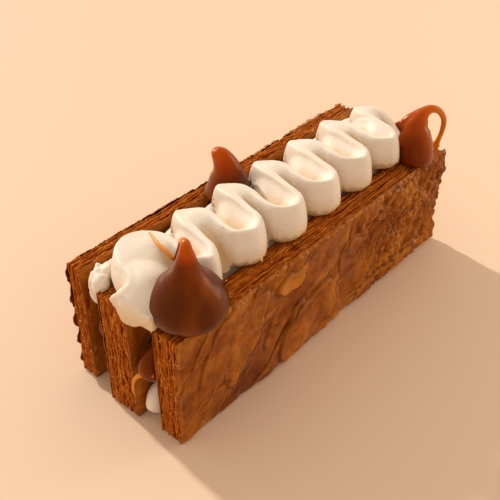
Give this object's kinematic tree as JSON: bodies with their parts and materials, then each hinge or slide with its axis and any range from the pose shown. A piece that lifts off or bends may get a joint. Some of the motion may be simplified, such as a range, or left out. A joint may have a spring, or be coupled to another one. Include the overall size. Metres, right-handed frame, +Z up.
{
  "type": "mille feuille slice",
  "caption": "Mille feuille slice: upright sheets of caramelised puff pastry with cream and caramel fillings, a serpentine of piped cream on top and pulled caramel dollops.",
  "frame": {"origin": "bottom centre of the bounding box, on the surface that the slice stands on", "axes": "+Z up; X along the length of the slice, with the end that the piped cream hangs over at -X; Y through the three sheets, with the sheet that carries two of the caramel dollops at -Y"},
  "size_m": [0.1234, 0.046, 0.0577],
  "materials": {
    "pastry": null,
    "cream": null,
    "caramel": null
  },
  "bodies": {
    "root": {"pastry_back": "pastry", "pastry_middle": "pastry", "pastry_front": "pastry", "cream_filling_back": "cream", "caramel_filling_back": "caramel", "cream_filling_front_top": "cream", "caramel_filling_front": "caramel", "cream_filling_front_low": "cream", "piped_cream": "cream", "caramel_dollop_near": "caramel", "caramel_dollop_back": "caramel", "caramel_dollop_far": "caramel"}
  },
  "joints": []
}
